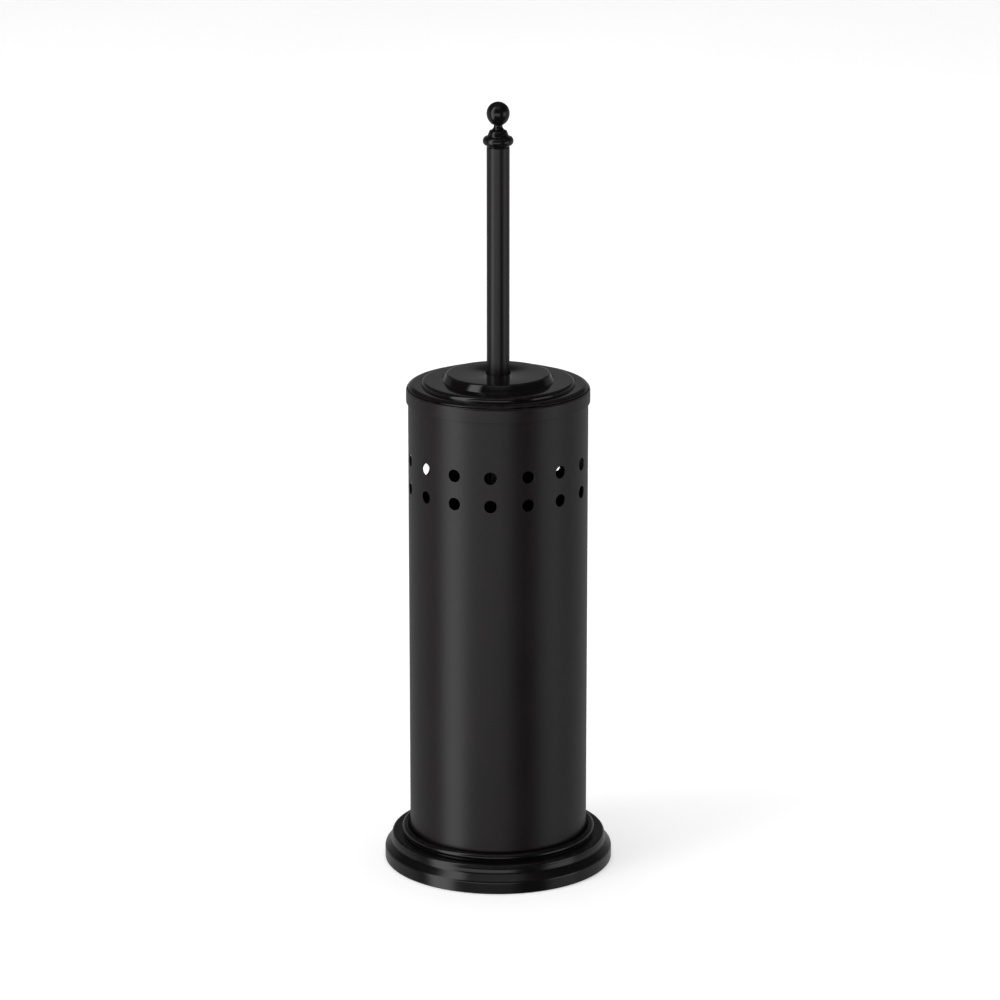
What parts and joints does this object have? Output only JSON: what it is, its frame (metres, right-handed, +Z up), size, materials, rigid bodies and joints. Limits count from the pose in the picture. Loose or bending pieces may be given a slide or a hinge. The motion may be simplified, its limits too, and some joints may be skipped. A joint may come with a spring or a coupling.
{
  "type": "toilet brush holder",
  "caption": "Tall round canister toilet brush holder in black, with a stepped weighted base, pierced upper wall, stepped lid and a brush on a slim rod with a ball finial.",
  "frame": {"origin": "on the floor at the canister's axis, which is the centre of the bounding box's bottom face", "axes": "+Z up along the canister and the rod, -Y towards the front, +X to the right seen from the front"},
  "size_m": [0.1224, 0.1224, 0.4134],
  "materials": {
    "satin_black_steel": "satin",
    "gloss_black_metal": "semi-gloss",
    "zinc_steel": "zinc plated",
    "cast_weight": "as cast",
    "foot_rubber": "matte",
    "cup_plastic": "fine moulded texture",
    "core_plastic": "moulded",
    "black_nylon": "smooth",
    "bristle_nylon": "fine filament",
    "brass_insert": "turned"
  },
  "bodies": {
    "holder": {"canister_tube": "satin_black_steel", "canister_floor": "zinc_steel", "base_shell": "gloss_black_metal", "base_weight": "cast_weight", "base_plate": "zinc_steel", "foot_pad": "foot_rubber", "clamp_bolt": "zinc_steel", "clamp_washer": "zinc_steel", "clamp_nut": "zinc_steel"},
    "cup": {"drip_cup": "cup_plastic"},
    "carrier": {"stop_washer": "black_nylon"},
    "brush": {"handle_rod": "satin_black_steel", "rod_clip": "zinc_steel", "finial": "gloss_black_metal", "finial_stud": "zinc_steel", "rod_top_plug": "brass_insert", "rod_end_plug": "brass_insert", "head_stud": "zinc_steel", "rod_seal": "foot_rubber", "brush_core": "core_plastic", "socket_insert": "brass_insert", "bristle_pack": "bristle_nylon"},
    "lid_bush": {"lid_grommet": "black_nylon", "grommet_ring": "zinc_steel"},
    "lid": {"lid_band": "satin_black_steel", "lid_cover": "gloss_black_metal", "lid_insert": "core_plastic"}
  },
  "joints": [
    {"name": "cup_lift", "type": "slide", "parent": "holder", "child": "cup", "axis": [0, 0, 1], "range_m": [0, 0.26]},
    {"name": "brush_lift", "type": "slide", "parent": "cup", "child": "carrier", "axis": [0, 0, 1], "range_m": [0, 0.26]},
    {"name": "brush_turn", "type": "hinge", "parent": "carrier", "child": "brush", "pos_m": [0, 0, 0.256], "axis": [0, 0, 1], "continuous": true},
    {"name": "lid_slide", "type": "slide", "parent": "carrier", "child": "lid_bush", "axis": [0, 0, 1], "range_m": [0, 0.1212]},
    {"name": "lid_turn", "type": "hinge", "parent": "lid_bush", "child": "lid", "pos_m": [0, 0, 0.263], "axis": [0, 0, 1], "continuous": true}
  ]
}
